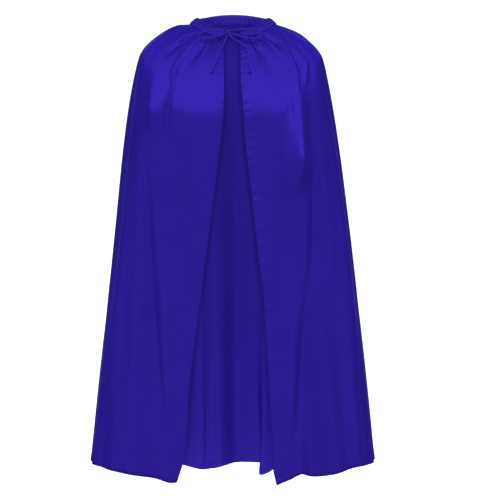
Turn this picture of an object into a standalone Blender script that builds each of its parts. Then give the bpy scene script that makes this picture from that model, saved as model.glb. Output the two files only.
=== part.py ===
"""A child's-party or stage hero cape for an adult: a satin cloth gathered on a drawstring at the neck.

The cloth is a back panel and two fronts, joined at side seams, with a turned hem all round. Its upper
edge is a casing, through which a cord runs. The cord is tied in a bow at the front of the neck.
Units are metres, +Z is up, the front faces -Y and the wearer's left is +X. The origin is the middle of
the neck opening, at the mean height of the casing.
"""

import math

import bmesh
import bpy
import numpy as np
from mathutils import Matrix, Vector

# Casing round the neck: half-widths of its middle line, heights of that line and its lean outwards.
NECK_HALF_WIDTH = 0.092
NECK_HALF_DEPTH = 0.080
CASING_HEIGHTS = {"front": -0.030, "side": 0.013, "back": 0.030}
CASING_LEANS = {"front": 25.0, "side": 50.0, "back": 15.0}
CASING_WIDTH = 0.025
CASING_THICKNESS = 0.010
CASING_WALL = 0.001
CASING_END = 12.0  # degrees from the front centre to each open end of the casing
CASING_STEPS = 36
CASING_SECTION_STEPS = 12

# The hang of the cloth, as distance from the neck's axis and height, from below the casing to the hem.
FRONT_HANG = [(0.104, -0.072), (0.128, -0.118), (0.148, -0.175), (0.1568, -0.214), (0.1600, -0.248)]
FRONT_HANG += [(0.170, -0.400), (0.188, -0.720), (0.205, -1.046)]
SIDE_HANG = [(0.135, -0.004), (0.161, -0.015), (0.187, -0.033), (0.208, -0.056), (0.2200, -0.085)]
SIDE_HANG += [(0.2365, -0.170), (0.2625, -0.400), (0.2988, -0.720), (0.3330, -1.021)]
BACK_HANG = [(0.106, -0.014), (0.128, -0.055), (0.146, -0.115), (0.158, -0.190)]
BACK_HANG += [(0.178, -0.380), (0.208, -0.700), (0.235, -1.054)]

# Half of the gap between the front edges, as share of the way down and half-width.
GAP_RIGHT = [(0.0, 0.0205), (0.18, 0.0190), (0.32, 0.0345), (0.52, 0.0610), (0.67, 0.0805)]
GAP_RIGHT += [(0.79, 0.0955), (0.87, 0.0995), (0.92, 0.1030), (0.96, 0.1090), (1.0, 0.1235)]
GAP_LEFT = [(0.0, 0.0180), (0.10, 0.0185), (0.17, 0.0240), (0.27, 0.0315), (0.37, 0.0440), (0.52, 0.0600)]
GAP_LEFT += [(0.59, 0.0695), (0.65, 0.0730), (0.78, 0.0810), (0.89, 0.0870), (0.96, 0.0890), (1.0, 0.0970)]

# Main folds of the hanging cloth: centre and half-width in degrees from the front centre by way of the
# left, depth at the hem, and how fast it grows down the cloth. Broad deep folds come in behind the gap.
FRONT_FOLDS = [(325.0, 7.0, -0.010, 1.0), (338.0, 8.0, 0.005, 1.0)]
FRONT_FOLDS += [(34.0, 7.0, -0.012, 1.0), (21.0, 7.0, 0.008, 1.0)]
BACK_FOLDS = [(156.5, 9.0, -0.085, 4.0), (169.0, 9.5, -0.030, 1.0)]
BACK_FOLDS += [(197.8, 16.5, -0.085, 1.0), (196.0, 3.6, 0.005, 1.0)]
BACK_FOLDS += [(135.0, 7.0, -0.045, 1.3), (230.0, 8.0, -0.045, 1.3)]
BACK_FOLDS += [(115.0, 7.0, -0.025, 1.3), (248.0, 7.0, -0.025, 1.3)]

# Where the hem dips or rises: centre and half-width in degrees, height at the hem.
HEM_WAVES = [(27.5, 5.5, 0.010), (58.0, 10.0, 0.006)]
HEM_WAVES += [(160.0, 8.0, -0.026), (200.0, 14.0, -0.014), (222.0, 9.0, -0.004), (140.0, 9.0, -0.004)]

# Cloth. The shares run from 0 at the casing to 1 at the hem.
CLOTH = 0.0015
TOP_GAP = 0.0018
TOP_FIT_SHARE = 0.10  # over this share the cloth turns from the casing's lean into its hang
HEM_SHARE = 0.989  # where the turned hem starts, 12 mm above the hem
SPLIT_SHARE = 0.20
SPLIT_GAP_SHARE = 0.0006
SHOULDER_ROWS = [0.0, 0.02, 0.045, 0.07, 0.10, 0.13, 0.165, SPLIT_SHARE - SPLIT_GAP_SHARE]
FRONT_ROWS = [SPLIT_SHARE, 0.26, 0.34, 0.44, 0.56, 0.69, 0.83, HEM_SHARE, 1.0]
BACK_ROWS = SHOULDER_ROWS[:-1] + FRONT_ROWS
SEAM_ANGLE = 90.0
SEAM_GAP_ANGLE = 1.0
FRONT_COLUMNS = 20
BACK_COLUMNS = 60

# Turned edges on the inner side of the cloth.
HEM_LAYER = 0.0010
EDGE_HEM_WIDTH = 0.010
TURNING_INSET = CLOTH + 0.0010
SEAM_WIDTH_ANGLE = 4.0
LAYER_GAP_SHARE = 0.001

# Cord, its knot and the bow.
CORD_DIAMETER = 0.005
CORD_POINT_SPACING = 0.010
KNOT_CENTRE = (-0.011, -0.0945, -0.0250)
KNOT_HALF_SIZES = (0.0065, 0.0055, 0.0060)
END_KNOT_RADIUS = 0.0048
END_KNOT_GAP = 0.0004

# Routes as the hand ties them: each loop leaves the knot and comes back to it, each tail hangs down.
LEFT_LEAD = [(-0.0072, -0.0882, -0.0265), (-0.0005, -0.0845, -0.0275), (0.0100, -0.0810, -0.0288)]
RIGHT_LEAD = [(-0.0147, -0.0880, -0.0270), (-0.0168, -0.0830, -0.0285)]
RIGHT_LOOP = [
    (-0.0182, -0.0945, -0.0215),
    (-0.0330, -0.0950, -0.0195),
    (-0.0560, -0.0925, -0.0215),
    (-0.0735, -0.0900, -0.0260),
    (-0.0775, -0.0895, -0.0320),
    (-0.0700, -0.0905, -0.0385),
    (-0.0500, -0.0925, -0.0375),
    (-0.0320, -0.0950, -0.0325),
    (-0.0180, -0.0950, -0.0285),
]
LEFT_LOOP = [
    (-0.0035, -0.0950, -0.0205),
    (0.0150, -0.0960, -0.0195),
    (0.0380, -0.0945, -0.0185),
    (0.0560, -0.0915, -0.0205),
    (0.0640, -0.0900, -0.0290),
    (0.0570, -0.0910, -0.0390),
    (0.0380, -0.0945, -0.0395),
    (0.0140, -0.0975, -0.0345),
    (-0.0038, -0.0960, -0.0285),
]
RIGHT_TAIL = [
    (-0.0125, -0.0950, -0.0345),
    (-0.0180, -0.1010, -0.0470),
    (-0.0265, -0.1095, -0.0650),
    (-0.0365, -0.1220, -0.0900),
    (-0.0450, -0.1330, -0.1140),
]
LEFT_TAIL = [
    (-0.0060, -0.0985, -0.0335),
    (0.0040, -0.1030, -0.0420),
    (0.0210, -0.1065, -0.0520),
    (0.0340, -0.1120, -0.0660),
    (0.0385, -0.1220, -0.0900),
    (0.0405, -0.1320, -0.1130),
]

SATIN = (0.0232, 0.0116, 0.2660)
CORD_SATIN = (0.0560, 0.0350, 0.4000)


def clear_scene():
    for old in list(bpy.data.objects):
        bpy.data.objects.remove(old)


def make_material(name, colour, roughness):
    material = bpy.data.materials.new(name)
    material.use_nodes = True
    shader = material.node_tree.nodes["Principled BSDF"]
    shader.inputs["Base Color"].default_value = (*colour, 1.0)
    shader.inputs["Roughness"].default_value = roughness
    shader.inputs["Metallic"].default_value = 0.0
    return material


def add_object(name, data, collection, colour=SATIN, roughness=0.4):
    data.materials.append(make_material(name + "_satin", colour, roughness))
    thing = bpy.data.objects.new(name, data)
    collection.objects.link(thing)
    return thing


def smooth_line(points, steps=16):
    """Points of a smooth Catmull-Rom curve through the given points."""
    points = [np.array(point, dtype=float) for point in points]
    points = [2 * points[0] - points[1]] + points + [2 * points[-1] - points[-2]]
    line = []
    for before, start, end, after in zip(points, points[1:], points[2:], points[3:]):
        for step in range(steps):
            t = step / steps
            line.append(
                start
                + t * (end - before) / 2
                + t**2 * (before - 2.5 * start + 2 * end - 0.5 * after)
                + t**3 * (1.5 * (start - end) + 0.5 * (after - before))
            )
    line.append(points[-2])
    return np.array(line)


def walk(line, share):
    """The point that lies at a share of the line's length."""
    steps = np.linalg.norm(np.diff(line, axis=0), axis=1)
    reached = np.concatenate([[0.0], np.cumsum(steps)])
    where = share * reached[-1]
    return [float(np.interp(where, reached, line[:, k])) for k in range(line.shape[1])]


def around(angle, values):
    """A value that changes smoothly from the front, over the side, to the back."""
    fore_aft = values["front"] if math.cos(angle) > 0 else values["back"]
    return values["side"] * math.sin(angle) ** 2 + fore_aft * math.cos(angle) ** 2


def casing_point(angle, across, through):
    """A point of the casing band: across runs up the band, and through runs outwards from its middle."""
    lean = math.radians(around(angle, CASING_LEANS))
    up = (-math.sin(lean), math.cos(lean))
    out = (math.cos(lean), math.sin(lean))
    outwards = across * up[0] + through * out[0]
    height = around(angle, CASING_HEIGHTS) + across * up[1] + through * out[1]
    x = (NECK_HALF_WIDTH + outwards) * math.sin(angle)
    y = -(NECK_HALF_DEPTH + outwards) * math.cos(angle)
    return Vector((x, y, height))


def hang_line(angle_degrees, hang):
    """A hang line of the cloth, started just below the casing's lower edge at that side of the neck."""
    start = casing_point(math.radians(angle_degrees), -CASING_WIDTH / 2 - TOP_GAP, 0.0)
    return smooth_line([(math.hypot(start.x, start.y), start.z)] + hang)


HANG_LINES = {
    "front": hang_line(0.0, FRONT_HANG),
    "side": hang_line(90.0, SIDE_HANG),
    "back": hang_line(180.0, BACK_HANG),
}
GAP_LINES = {1: smooth_line(GAP_LEFT), -1: smooth_line(GAP_RIGHT)}


def fold_depth(angle, share):
    """How far the folds push the cloth out of its plain hang. The seams at the sides stay straight."""
    degrees = math.degrees(angle) % 360
    if math.cos(angle) > 0:
        folds, flatness = FRONT_FOLDS, 2
    else:
        folds, flatness = BACK_FOLDS, 4
    depth = 0.0
    for centre, width, deep, growth in folds:
        depth += deep * share**growth * math.exp(-(((degrees - centre) / width) ** flatness))
    return depth * (1 - math.sin(angle) ** 12)


def hem_rise(angle, share):
    degrees = math.degrees(angle) % 360
    return sum(rise * share**6 * math.exp(-(((degrees - c) / w) ** 2)) for c, w, rise in HEM_WAVES)


def plain_point(angle, share):
    """A point of the hang without folds, lofted between the front, side and back lines."""
    side = walk(HANG_LINES["side"], share)
    fore_aft = walk(HANG_LINES["front" if math.cos(angle) > 0 else "back"], share)
    x = side[0] * math.sin(angle)
    y = -fore_aft[0] * math.cos(angle)
    z = side[1] * math.sin(angle) ** 2 + fore_aft[1] * math.cos(angle) ** 2
    return Vector((x, y, z))


def outer_point(angle, share):
    """A point of the hanging cloth's outer face, which starts along the casing's lower edge."""
    point = plain_point(angle, share)
    if share < TOP_FIT_SHARE:
        top = casing_point(angle, -CASING_WIDTH / 2 - TOP_GAP, CLOTH / 2)
        point += (top - plain_point(angle, 0.0)) * (1 - share / TOP_FIT_SHARE) ** 2
    outwards = Vector((point.x / point.length_squared, point.y / point.length_squared, 0.0))
    return point + outwards.normalized() * fold_depth(angle, share) + Vector((0, 0, hem_rise(angle, share)))


def cloth_point(angle, share, inset=0.0):
    """A point of the cloth, or of a layer that lies inset behind it."""
    point = outer_point(angle, share)
    if inset == 0.0:
        return point
    step = 0.01
    along = outer_point(angle + step, share) - outer_point(angle - step, share)
    down = outer_point(angle, min(1.0, share + step)) - outer_point(angle, max(0.0, share - step))
    return point - down.cross(along).normalized() * inset


def edge_angle(side, share, margin=0.0):
    """The angle of a front edge, or of a line that runs beside it at a margin."""
    shares, half_gaps = GAP_LINES[side].T
    half_gap = float(np.interp(share, shares, half_gaps)) + margin
    half_width = walk(HANG_LINES["side"], share)[0]
    return side * math.asin(half_gap / half_width)


def add_layer(name, rows, row_angles, collection, inset=0.0, thickness=CLOTH):
    """A thin layer of cloth: a loft over rows of points, each from the angles that row_angles gives."""
    grid = [[cloth_point(angle, share, inset) for angle in row_angles(share)] for share in rows]
    columns = len(grid[0])
    points = [point for row in grid for point in row]
    faces = []
    for row in range(len(grid) - 1):
        for column in range(columns - 1):
            corner = row * columns + column
            faces.append((corner, corner + columns, corner + columns + 1, corner + 1))
    if row_angles(rows[0])[0] > row_angles(rows[0])[-1]:
        faces = [face[::-1] for face in faces]
    mesh = bpy.data.meshes.new(name)
    mesh.from_pydata(points, [], faces)
    layer = add_object(name, mesh, collection)
    solid = layer.modifiers.new("cloth", "SOLIDIFY")
    solid.thickness = thickness
    solid.offset = -1.0
    mesh.shade_smooth()
    return layer


def spaced(start, end, steps):
    return [start + (end - start) * step / steps for step in range(steps + 1)]


def front_angles(side, seam_gap=0.0):
    """The columns of a front, from its open edge to the side seam."""
    seam = side * math.radians(SEAM_ANGLE - seam_gap)
    return lambda share: spaced(edge_angle(side, share), seam, FRONT_COLUMNS)


def back_angles(share):
    seam = math.radians(SEAM_ANGLE)
    return spaced(seam, 2 * math.pi - seam, BACK_COLUMNS)


def edge_hem_angles(side):
    """The two columns of the turned strip behind a front edge."""
    return lambda share: spaced(edge_angle(side, share), edge_angle(side, share, EDGE_HEM_WIDTH), 2)


def front_hem_angles(side):
    """The columns of a front's hem: those of the front, from beside the edge strip to the side seam."""
    columns = front_angles(side, SEAM_GAP_ANGLE)
    return lambda share: columns(share)[1:]


def seam_angles(side):
    """The two columns of a side seam's allowance, which is pressed towards the back."""
    start = math.radians(SEAM_ANGLE + SEAM_GAP_ANGLE)
    end = math.radians(SEAM_ANGLE + SEAM_GAP_ANGLE + SEAM_WIDTH_ANGLE)
    return lambda share: spaced(side * start, side * end, 2)


def add_cloth(collection):
    hem_rows = [HEM_SHARE, 1.0]
    strip_end = HEM_SHARE - LAYER_GAP_SHARE
    upper_strip_rows = SHOULDER_ROWS[1:]
    lower_strip_rows = FRONT_ROWS[:-2] + [strip_end]
    seam_rows = BACK_ROWS[1:-2] + [strip_end]
    add_layer("back_panel", BACK_ROWS, back_angles, collection)
    add_layer("back_hem", hem_rows, back_angles, collection, TURNING_INSET, HEM_LAYER)
    for word, side in (("left", 1), ("right", -1)):
        whole = front_angles(side, SEAM_GAP_ANGLE)
        add_layer(word + "_shoulder_panel", SHOULDER_ROWS, whole, collection)
        add_layer(word + "_front_panel", FRONT_ROWS, whole, collection)
        hem = front_hem_angles(side)
        add_layer(word + "_front_hem", hem_rows, hem, collection, TURNING_INSET, HEM_LAYER)
        strip = edge_hem_angles(side)
        upper = word + "_upper_edge_hem"
        lower = word + "_lower_edge_hem"
        add_layer(upper, upper_strip_rows, strip, collection, TURNING_INSET, HEM_LAYER)
        add_layer(lower, lower_strip_rows, strip, collection, TURNING_INSET, HEM_LAYER)
        seam = seam_angles(side)
        add_layer(word + "_side_seam", seam_rows, seam, collection, TURNING_INSET, HEM_LAYER)


def casing_section():
    """Outline of the casing band: a flat oval, as (across, through) pairs."""
    outline = []
    for step in range(CASING_SECTION_STEPS):
        turn = 2 * math.pi * step / CASING_SECTION_STEPS
        across = math.copysign(abs(math.cos(turn)) ** 0.7, math.cos(turn)) * CASING_WIDTH / 2
        through = math.copysign(abs(math.sin(turn)) ** 0.7, math.sin(turn)) * CASING_THICKNESS / 2
        outline.append((across, through))
    return outline


def add_casing(collection):
    """The hollow casing, open at both ends, from the left of the neck round the back to the right."""
    start = math.radians(CASING_END)
    outline = casing_section()
    count = len(outline)
    angles = spaced(start, 2 * math.pi - start, CASING_STEPS)
    points = [casing_point(angle, *corner) for angle in angles for corner in outline]
    faces = []
    for ring in range(CASING_STEPS):
        for corner in range(count):
            here = ring * count + corner
            beside = ring * count + (corner + 1) % count
            faces.append((here, here + count, beside + count, beside))
    mesh = bpy.data.meshes.new("neck_casing")
    mesh.from_pydata(points, [], faces)
    casing = add_object("neck_casing", mesh, collection)
    wall = casing.modifiers.new("wall", "SOLIDIFY")
    wall.thickness = CASING_WALL
    wall.offset = -1.0
    mesh.shade_smooth()


def add_cord(name, route, collection):
    """A round cord along a smooth curve through the route's points, with closed ends."""
    line = smooth_line(route)
    length = np.linalg.norm(np.diff(line, axis=0), axis=1).sum()
    steps = max(4, round(length / CORD_POINT_SPACING))
    curve = bpy.data.curves.new(name, "CURVE")
    curve.dimensions = "3D"
    curve.bevel_depth = CORD_DIAMETER / 2
    curve.bevel_resolution = 2
    curve.use_fill_caps = True
    spline = curve.splines.new("POLY")
    spline.points.add(steps)
    for step, point in enumerate(spline.points):
        point.co = (*walk(line, step / steps), 1.0)
    return add_object(name, curve, collection, CORD_SATIN, 0.45)


def add_lump(name, centre, half_sizes, collection):
    """A tied knot, as a rounded lump."""
    shape = bmesh.new()
    sizes = Matrix.Diagonal((*half_sizes, 1.0))
    bmesh.ops.create_uvsphere(shape, u_segments=16, v_segments=10, radius=1.0, matrix=sizes)
    mesh = bpy.data.meshes.new(name)
    shape.to_mesh(mesh)
    shape.free()
    mesh.shade_smooth()
    lump = add_object(name, mesh, collection, CORD_SATIN, 0.45)
    lump.location = centre


def add_end_knot(name, tail, collection):
    """The overhand knot at a tail's end, in line with the tail's last stretch."""
    before, end = Vector(tail[-2]), Vector(tail[-1])
    ahead = (end - before).normalized()
    centre = end + ahead * (END_KNOT_RADIUS + END_KNOT_GAP)
    add_lump(name, centre, (END_KNOT_RADIUS,) * 3, collection)


def add_bow(collection):
    start = CASING_END + 1.0
    in_casing = [
        casing_point(math.radians(angle), 0.0, 0.0) for angle in spaced(start, 360 - start, 14)
    ]
    add_cord("drawstring", LEFT_LEAD + in_casing + RIGHT_LEAD[::-1], collection)
    add_lump("bow_knot", KNOT_CENTRE, KNOT_HALF_SIZES, collection)
    for word, loop, tail in (("left", LEFT_LOOP, LEFT_TAIL), ("right", RIGHT_LOOP, RIGHT_TAIL)):
        add_cord(word + "_loop", loop, collection)
        add_cord(word + "_tail", tail, collection)
        add_end_knot(word + "_tail_knot", tail, collection)


def main():
    clear_scene()
    collection = bpy.data.collections.new("superhero_cape")
    bpy.context.scene.collection.children.link(collection)
    add_casing(collection)
    add_cloth(collection)
    add_bow(collection)


main()
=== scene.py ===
"""The looks of a satin hero cape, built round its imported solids.

The cloth hangs from a gathered casing at the neck. Its shape is one function of two numbers: the angle
round the neck, in degrees from the front centre by way of the wearer's left, and the share of the way
from the casing (0) down to the hem (1). Pleats, folds, turned edges and stitches all use that function.
Metres, +Z up, front at -Y, wearer's left at +X, origin in the middle of the neck opening.
"""

import math

import bpy
import numpy as np
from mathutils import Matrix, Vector


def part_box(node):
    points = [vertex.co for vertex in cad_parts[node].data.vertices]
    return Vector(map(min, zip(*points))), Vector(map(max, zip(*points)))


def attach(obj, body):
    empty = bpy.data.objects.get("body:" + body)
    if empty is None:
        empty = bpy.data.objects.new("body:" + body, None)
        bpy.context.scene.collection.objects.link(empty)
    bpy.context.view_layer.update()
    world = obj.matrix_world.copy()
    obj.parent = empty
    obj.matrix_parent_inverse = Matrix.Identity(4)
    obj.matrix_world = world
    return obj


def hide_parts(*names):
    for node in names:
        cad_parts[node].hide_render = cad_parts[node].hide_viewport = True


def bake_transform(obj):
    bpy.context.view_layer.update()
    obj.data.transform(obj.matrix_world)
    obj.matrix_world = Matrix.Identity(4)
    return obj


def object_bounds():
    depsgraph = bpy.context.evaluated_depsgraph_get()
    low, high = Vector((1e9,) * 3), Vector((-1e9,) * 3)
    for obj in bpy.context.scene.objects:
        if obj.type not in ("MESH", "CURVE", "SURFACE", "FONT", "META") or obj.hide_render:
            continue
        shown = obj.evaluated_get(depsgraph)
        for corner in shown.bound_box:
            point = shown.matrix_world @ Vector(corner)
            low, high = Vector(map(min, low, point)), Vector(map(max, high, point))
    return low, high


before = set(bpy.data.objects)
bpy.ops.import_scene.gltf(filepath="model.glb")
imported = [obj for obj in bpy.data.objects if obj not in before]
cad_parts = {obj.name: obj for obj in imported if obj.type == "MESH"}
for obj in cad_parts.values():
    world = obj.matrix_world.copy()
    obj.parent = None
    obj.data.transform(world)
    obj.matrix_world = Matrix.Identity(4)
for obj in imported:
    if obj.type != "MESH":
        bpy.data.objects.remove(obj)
CAD_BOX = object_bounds()

ROOT = "neck_and_back"
SIDES = {"left": 1, "right": -1}

# ---------------------------------------------------------------- sizes of the cloth and cords

NECK_HALF_WIDTH = 0.092
NECK_HALF_DEPTH = 0.080
CASING_HEIGHTS = {"front": -0.030, "side": 0.013, "back": 0.030}
CASING_LEANS = {"front": 25.0, "side": 50.0, "back": 15.0}
CASING_WIDTH = 0.025
CASING_THICKNESS = 0.0078
CASING_END = 12.0

# How the cloth hangs below the casing: distance from the middle and height, from the top down.
FRONT_HANG = [(0.104, -0.072), (0.128, -0.118), (0.148, -0.175), (0.1568, -0.214), (0.1600, -0.248)]
FRONT_HANG += [(0.170, -0.400), (0.188, -0.720), (0.205, -1.046)]
SIDE_HANG = [(0.135, -0.002), (0.161, -0.0135), (0.187, -0.033), (0.208, -0.056), (0.2200, -0.085)]
SIDE_HANG += [(0.2365, -0.170), (0.2540, -0.285), (0.2685, -0.400), (0.3050, -0.720), (0.3330, -1.021)]
BACK_HANG = [(0.106, -0.014), (0.128, -0.055), (0.146, -0.115), (0.158, -0.190)]
BACK_HANG += [(0.178, -0.380), (0.208, -0.700), (0.235, -1.054)]
HANG_LENGTH = 1.10
TOP_FIT_SHARE = 0.10
TOP_IN_CASING = 0.003

# Half of the front opening on each side: share of the way down, half-width.
GAP_RIGHT = [(0.0, 0.0205), (0.18, 0.0190), (0.32, 0.0345), (0.52, 0.0610), (0.67, 0.0805)]
GAP_RIGHT += [(0.79, 0.0955), (0.87, 0.0995), (0.92, 0.1030), (0.96, 0.1090), (1.0, 0.1235)]
GAP_LEFT = [(0.0, 0.0180), (0.10, 0.0185), (0.17, 0.0240), (0.27, 0.0315), (0.37, 0.0440), (0.52, 0.0600)]
GAP_LEFT += [(0.59, 0.0695), (0.65, 0.0730), (0.78, 0.0810), (0.89, 0.0870), (0.96, 0.0890), (1.0, 0.0970)]

CORD_DIAMETER = 0.005
KNOT_CENTRE = (-0.011, -0.0945, -0.0250)
LEFT_LEAD = [(-0.0072, -0.0882, -0.0265), (-0.0005, -0.0845, -0.0275), (0.0100, -0.0810, -0.0288)]
RIGHT_LEAD = [(-0.0147, -0.0880, -0.0270), (-0.0168, -0.0830, -0.0285)]
LOOPS = {
    "right": [
        (-0.0160, -0.0945, -0.0223),
        (-0.0330, -0.0950, -0.0195),
        (-0.0560, -0.0925, -0.0215),
        (-0.0735, -0.0900, -0.0260),
        (-0.0775, -0.0895, -0.0320),
        (-0.0700, -0.0905, -0.0385),
        (-0.0500, -0.0925, -0.0375),
        (-0.0320, -0.0950, -0.0325),
        (-0.0162, -0.0950, -0.0277),
    ],
    "left": [
        (-0.0070, -0.0950, -0.0215),
        (0.0150, -0.0960, -0.0195),
        (0.0380, -0.0945, -0.0185),
        (0.0560, -0.0915, -0.0205),
        (0.0640, -0.0900, -0.0290),
        (0.0570, -0.0910, -0.0390),
        (0.0380, -0.0945, -0.0395),
        (0.0140, -0.0975, -0.0345),
        (-0.0070, -0.0960, -0.0275),
    ],
}
TAILS = {
    "right": [
        (-0.0120, -0.0950, -0.0300),
        (-0.0180, -0.1010, -0.0470),
        (-0.0265, -0.1095, -0.0650),
        (-0.0365, -0.1220, -0.0900),
        (-0.0450, -0.1330, -0.1140),
    ],
    "left": [
        (-0.0085, -0.0965, -0.0300),
        (0.0040, -0.1030, -0.0420),
        (0.0210, -0.1065, -0.0520),
        (0.0340, -0.1120, -0.0660),
        (0.0385, -0.1220, -0.0900),
        (0.0405, -0.1320, -0.1130),
    ],
}
# The two wraps of the bow's knot: shift to the side in metres and lean in degrees.
WRAPS = [(-0.0022, 14.0), (0.0024, -9.0)]
WRAP_HALF_HEIGHT = 0.0040
WRAP_HALF_DEPTH = 0.0034
WRAP_DROP = 0.0003
WRAP_RADIUS = 0.0024

# ---------------------------------------------------------------- folds, pleats and turned edges

# Main folds: centre and half-width in degrees, depth at the hem, and how fast it grows down the cloth.
FRONT_FOLDS = [(325.0, 7.0, -0.010, 1.0), (338.0, 8.0, 0.005, 1.0)]
FRONT_FOLDS += [(34.0, 7.0, -0.012, 1.0), (21.0, 7.0, 0.008, 1.0)]
BACK_FOLDS = [(156.5, 9.0, -0.085, 4.0), (169.0, 9.5, -0.030, 1.0)]
BACK_FOLDS += [(197.8, 16.5, -0.085, 1.0), (196.0, 3.6, 0.005, 1.0)]
BACK_FOLDS += [(135.0, 7.0, -0.045, 1.3), (230.0, 8.0, -0.045, 1.3)]
BACK_FOLDS += [(115.0, 7.0, -0.025, 1.3), (248.0, 7.0, -0.025, 1.3)]
# Where a fold laps over its neighbour: centre and half-width in degrees, shift in degrees at the hem.
LAPS = [(171.5, 5.0, 5.0)]
LAP_GROWTH = 5.0
# Where the hem dips or rises: centre and half-width in degrees, height at the hem.
HEM_WAVES = [(16.0, 2.4, -0.006), (27.5, 5.5, 0.013), (58.0, 10.0, 0.006), (335.0, 3.0, -0.004)]
HEM_WAVES += [(160.0, 8.0, -0.026), (200.0, 14.0, -0.014), (222.0, 9.0, -0.004), (140.0, 9.0, -0.004)]
# The shoulders stand a little towards the wearer's right, and the left one is lower.
SHOULDER_SHIFT = -0.0045
SHOULDER_TILT = 0.003

# Long pleats that run from the gathers over the chest and down: angle where the pleat starts and where it
# ends, distance from the casing where it starts, where it is fullest and where it ends, half-width, height.
CHEST_PLEATS = [
    (327.0, 327.0, 0.11, 0.225, 0.55, 12.0, 0.0080),
    (31.0, 31.0, 0.11, 0.225, 0.55, 12.0, 0.0080),
    (320.0, 323.0, 0.00, 0.12, 0.20, 2.4, 0.0095),
    (312.0, 311.0, 0.00, 0.05, 0.13, 2.6, -0.0080),
    (331.0, 329.0, 0.01, 0.05, 0.14, 2.6, -0.0080),
    (309.5, 313.5, 0.10, 0.245, 0.32, 6.0, 0.0165),
    (321.5, 322.0, 0.18, 0.225, 0.38, 2.2, -0.0065),
    (341.0, 344.0, 0.00, 0.06, 0.16, 3.4, 0.0035),
    (294.0, 298.0, 0.01, 0.07, 0.17, 3.6, -0.0045),
    (305.0, 350.0, 0.26, 0.50, 1.50, 3.4, -0.0100),
    (51.0, 39.0, 0.03, 0.14, 0.21, 2.0, 0.0065),
    (53.0, 42.5, 0.04, 0.11, 0.18, 1.9, -0.0065),
    (62.0, 47.5, 0.03, 0.13, 0.20, 2.4, 0.0070),
    (60.0, 56.0, 0.03, 0.09, 0.14, 2.2, -0.0060),
    (42.4, 34.0, 0.12, 0.345, 0.45, 6.4, 0.0370),
    (35.0, 34.0, 0.15, 0.22, 0.28, 2.0, -0.0055),
    (43.0, 42.0, 0.00, 0.03, 0.07, 2.4, -0.0060),
    (33.0, 30.0, 0.00, 0.05, 0.14, 3.4, 0.0045),
    (24.0, 22.0, 0.00, 0.03, 0.08, 2.8, -0.0045),
    (23.0, 22.0, 0.06, 0.12, 0.20, 2.4, 0.0025),
    (53.0, 7.0, 0.28, 0.55, 1.50, 3.4, -0.0100),
]
FINE_PLEATS = 66
FINE_PLEAT_HEIGHT = (0.0016, 0.0032)
FINE_PLEAT_FADE = 0.040
MIDDLE_PLEATS = 44
MIDDLE_PLEAT_HEIGHT = (-0.0020, 0.0045)
MIDDLE_PLEAT_REACH = (0.040, 0.130)
LONG_PLEATS = 13
LONG_PLEAT_HEIGHT = (0.0040, 0.0085)
LONG_PLEAT_REACH = (0.15, 0.34)
RIPPLES = 26
RIPPLE_HEIGHT = 0.0007

# Width of the turned hem, as a share of the way down, and of the turned front edge, in metres.
HEM_TURN = 0.011
EDGE_TURN = 0.009
TURN_INSET = 0.0013
# Rows of a turned strip, from the fold to its raw edge: shares of its width, and their insets.
TURN_STEPS = np.array([0.0, 0.0, 0.3, 0.65, 1.0])
TURN_INSETS = TURN_INSET * np.array([0.5, 1.0, 1.0, 1.0, 1.0])
# Where the stitches lie on a turned strip, as a share of its width.
STITCH_PLACE = 0.85
CLOTH_THICKNESS = 0.0005
EDGE_ROLL = 0.004
EDGE_ROLL_WIDTH = 0.020
PUCKER_LENGTH = 0.014
PUCKER_HEIGHT = 0.0008
EDGE_PUCKERS = {1: 1.5, -1: 0.8}
HEM_RADIUS = 0.28

# Seam allowances: where they start and end down the cloth, their lines in degrees and how far inside.
SEAM_REACH = (0.02, 0.9995)
SEAM_ROWS = 200
SEAM_DEGREES = [87.0, 88.0, 89.0, 90.0, 90.9, 91.8, 92.6]
SEAM_INSETS = [0.0013, 0.0016, 0.0016, 0.0014, 0.0016, 0.0016, 0.0013]

# Cloth that sets the scale of the weave, in metres.
FRONT_CLOTH_WIDTH = 0.42
BACK_CLOTH_WIDTH = 0.95
SEAM_WIDTH = 0.024
CASING_GIRTH = 0.06
CASING_CLOTH_PER_DEGREE = 0.004
WEAVE_PITCH = 0.00045

# Mesh steps.
HANG_ROWS = 150
ROW_CROWDING = 1.35
FRONT_COLUMNS = 132
BACK_COLUMNS = 300
CASING_COLUMNS = 640
CASING_SECTION = 30
STAGE_SIDES = 96
# Points of a line on the cloth along which its stitches are spaced.
FRONT_HEM_SAMPLES = 900
EDGE_SAMPLES = 1400
BACK_HEM_SAMPLES = 2400
CASING_SAMPLES = 4000

# Stitches and cords.
STITCH = 0.0023
STITCH_GAP = 0.0010
STITCH_RADIUS = 0.00024
CORD_STEP = 0.0012
CORD_SIDES = 16
BRAID_PITCH = 0.011
BRAID_RELIEF = 0.05
# How far the cut end of a tail reaches past the middle of its knot, in knot radii.
CUT_END_REACH = 0.9

# Camera and stage.
CAMERA_PLACE = (0.040, -3.50, -0.525)
LENS = 106.8
FLOOR_HEIGHT = CAD_BOX[0].z - 0.16
STAGE_RADIUS = 8.0
STAGE_BEND = 1.5
STAGE_WALL = 6.0
# Light of the studio tent by elevation in degrees, from the dim room up over the bright rim to the top.
TENT = [(20.0, 0.38), (28.5, 2.55), (33.0, 2.10), (43.0, 1.82), (53.0, 1.78), (64.0, 0.78), (90.0, 0.60)]
BACK_LIGHT = 0.66
FLOOR_GLOW = 0.55
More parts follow.
